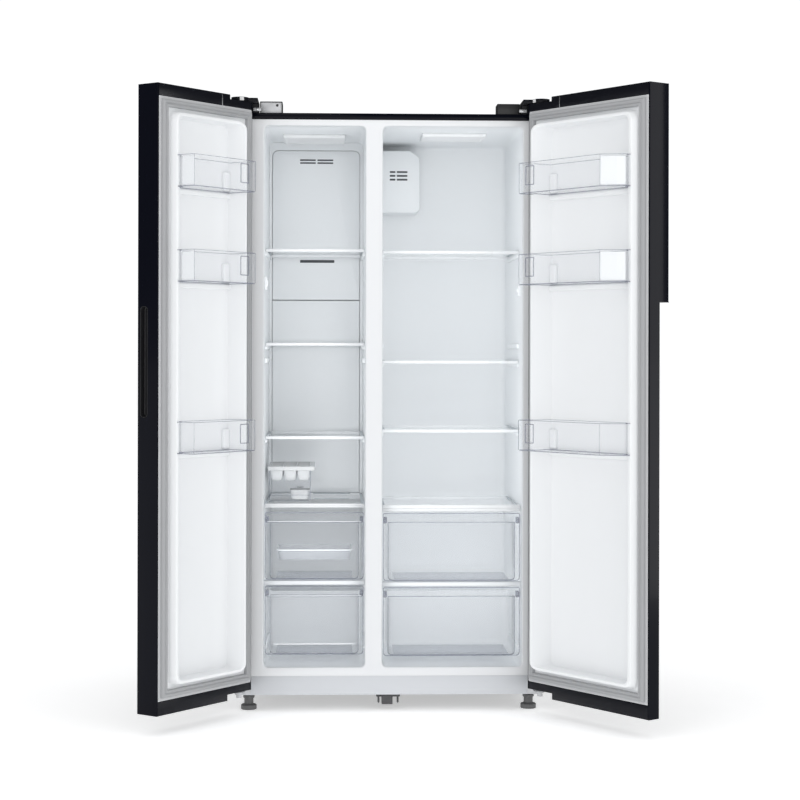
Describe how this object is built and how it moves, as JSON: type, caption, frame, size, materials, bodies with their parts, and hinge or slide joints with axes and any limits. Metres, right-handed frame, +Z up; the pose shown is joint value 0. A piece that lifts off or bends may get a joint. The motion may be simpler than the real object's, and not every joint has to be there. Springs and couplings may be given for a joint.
{
  "type": "side by side refrigerator",
  "caption": "Side by side refrigerator with freezer and fresh food compartments, hinged doors with bins, glass shelves and clear sliding drawers.",
  "frame": {"origin": "on the floor, under the middle of the cabinet's front flange", "axes": "+X to the right seen from the front, +Y from the front to the back, +Z up"},
  "size_m": [1.4458, 1.0983, 1.778],
  "materials": {
    "shell_paint": "gloss",
    "panel_plastic": "satin",
    "liner_plastic": "satin",
    "toe_plastic": "satin",
    "foam": "matte",
    "galvanised": "satin",
    "pan_steel": "matte",
    "black_metal": "satin",
    "black_plastic": "satin",
    "mount_rubber": "matte",
    "coil_aluminium": "satin",
    "clear_glass": "gloss",
    "trim_plastic": "gloss",
    "clear_plastic": "gloss",
    "lamp_diffuser": "satin",
    "tray_plastic": "satin",
    "hinge_steel": "satin",
    "foot_plastic": "satin",
    "seal": "matte",
    "bush_plastic": "satin"
  },
  "bodies": {
    "cabinet": {"cabinet_shell": "shell_paint", "front_frame": "panel_plastic", "freezer_liner": "liner_plastic", "fridge_liner": "liner_plastic", "insulation": "foam", "back_panel": "galvanised", "toe_panel": "toe_plastic", "base_pan": "pan_steel", "compressor_cover": "black_plastic", "compressor": "black_metal", "compressor_mounts": "mount_rubber", "condenser": "black_metal", "fan_motors": "galvanised", "drain_pan": "black_plastic", "evaporator": "coil_aluminium", "freezer_duct_covers": "liner_plastic", "fridge_air_duct": "liner_plastic", "ceiling_lamps": "lamp_diffuser", "freezer_shelf_glass": "clear_glass", "freezer_shelf_trims": "trim_plastic", "fridge_shelf_glass": "clear_glass", "fridge_shelf_trims": "trim_plastic", "drawer_rails": "trim_plastic", "top_hinges": "hinge_steel", "hinge_covers": "black_plastic", "bottom_hinges": "hinge_steel", "wiring_boxes": "galvanised", "roller_brackets": "galvanised", "centre_bracket": "foot_plastic", "cord_gland": "black_plastic"},
    "freezer_door": {"freezer_door_skin": "shell_paint", "freezer_door_foam": "foam", "freezer_door_liner": "panel_plastic", "freezer_door_gasket": "seal", "freezer_door_end_caps": "black_plastic", "freezer_door_bushes": "bush_plastic", "freezer_door_grip": "black_plastic", "freezer_door_bins": "clear_plastic"},
    "fridge_door": {"fridge_door_skin": "shell_paint", "fridge_door_foam": "foam", "fridge_door_liner": "panel_plastic", "fridge_door_gasket": "seal", "fridge_door_end_caps": "black_plastic", "fridge_door_bushes": "bush_plastic", "fridge_door_grip": "black_plastic", "fridge_door_bins": "clear_plastic"},
    "freezer_upper_drawer": {"freezer_upper_drawer": "clear_plastic"},
    "freezer_lower_drawer": {"freezer_lower_drawer": "clear_plastic"},
    "fridge_upper_drawer": {"fridge_upper_drawer": "clear_plastic"},
    "fridge_lower_drawer": {"fridge_lower_drawer": "clear_plastic"},
    "ice_bin": {"ice_bin": "clear_plastic", "ice_tray": "tray_plastic"},
    "damper": {"damper_flap": "trim_plastic"},
    "condenser_fan": {"condenser_fan": "black_plastic"},
    "evaporator_fan": {"evaporator_fan": "black_plastic"},
    "foot_left": {"front_foot_left": "foot_plastic"},
    "foot_right": {"front_foot_right": "foot_plastic"},
    "roller_left": {"rear_roller_left": "foot_plastic"},
    "roller_right": {"rear_roller_right": "foot_plastic"}
  },
  "joints": [
    {"name": "freezer_door_hinge", "type": "hinge", "parent": "cabinet", "child": "freezer_door", "pos_m": [-0.4355, -0.0485, 0.9], "axis": [0, 0, -1], "range_deg": [-127.5, 2.5]},
    {"name": "fridge_door_hinge", "type": "hinge", "parent": "cabinet", "child": "fridge_door", "pos_m": [0.4355, -0.0485, 0.9], "axis": [0, 0, 1], "range_deg": [-125.5, 2.5]},
    {"name": "freezer_upper_drawer_slide", "type": "slide", "parent": "cabinet", "child": "freezer_upper_drawer", "axis": [0, -1, 0], "range_m": [0, 0.34]},
    {"name": "freezer_lower_drawer_slide", "type": "slide", "parent": "cabinet", "child": "freezer_lower_drawer", "axis": [0, -1, 0], "range_m": [0, 0.28]},
    {"name": "fridge_upper_drawer_slide", "type": "slide", "parent": "cabinet", "child": "fridge_upper_drawer", "axis": [0, -1, 0], "range_m": [0, 0.34]},
    {"name": "fridge_lower_drawer_slide", "type": "slide", "parent": "cabinet", "child": "fridge_lower_drawer", "axis": [0, -1, 0], "range_m": [0, 0.28]},
    {"name": "ice_bin_slide", "type": "slide", "parent": "cabinet", "child": "ice_bin", "axis": [0, -1, 0], "range_m": [0, 0.22]},
    {"name": "damper_hinge", "type": "hinge", "parent": "cabinet", "child": "damper", "pos_m": [0.043, 0.5, 1.54], "axis": [1, 0, 0], "range_deg": [-60, 0]},
    {"name": "condenser_fan_spin", "type": "hinge", "parent": "cabinet", "child": "condenser_fan", "pos_m": [-0.02, 0.52, 0.15], "axis": [0, 1, 0], "continuous": true},
    {"name": "evaporator_fan_spin", "type": "hinge", "parent": "cabinet", "child": "evaporator_fan", "pos_m": [-0.219, 0.5, 1.29], "axis": [0, 1, 0], "continuous": true},
    {"name": "foot_left_turn", "type": "hinge", "parent": "cabinet", "child": "foot_left", "pos_m": [-0.41, 0.035, 0.02], "axis": [0, 0, 1], "continuous": true},
    {"name": "foot_right_turn", "type": "hinge", "parent": "cabinet", "child": "foot_right", "pos_m": [0.41, 0.035, 0.02], "axis": [0, 0, 1], "continuous": true},
    {"name": "roller_left_spin", "type": "hinge", "parent": "cabinet", "child": "roller_left", "pos_m": [-0.4, 0.57, 0.022], "axis": [1, 0, 0], "continuous": true},
    {"name": "roller_right_spin", "type": "hinge", "parent": "cabinet", "child": "roller_right", "pos_m": [0.4, 0.57, 0.022], "axis": [1, 0, 0], "continuous": true}
  ]
}
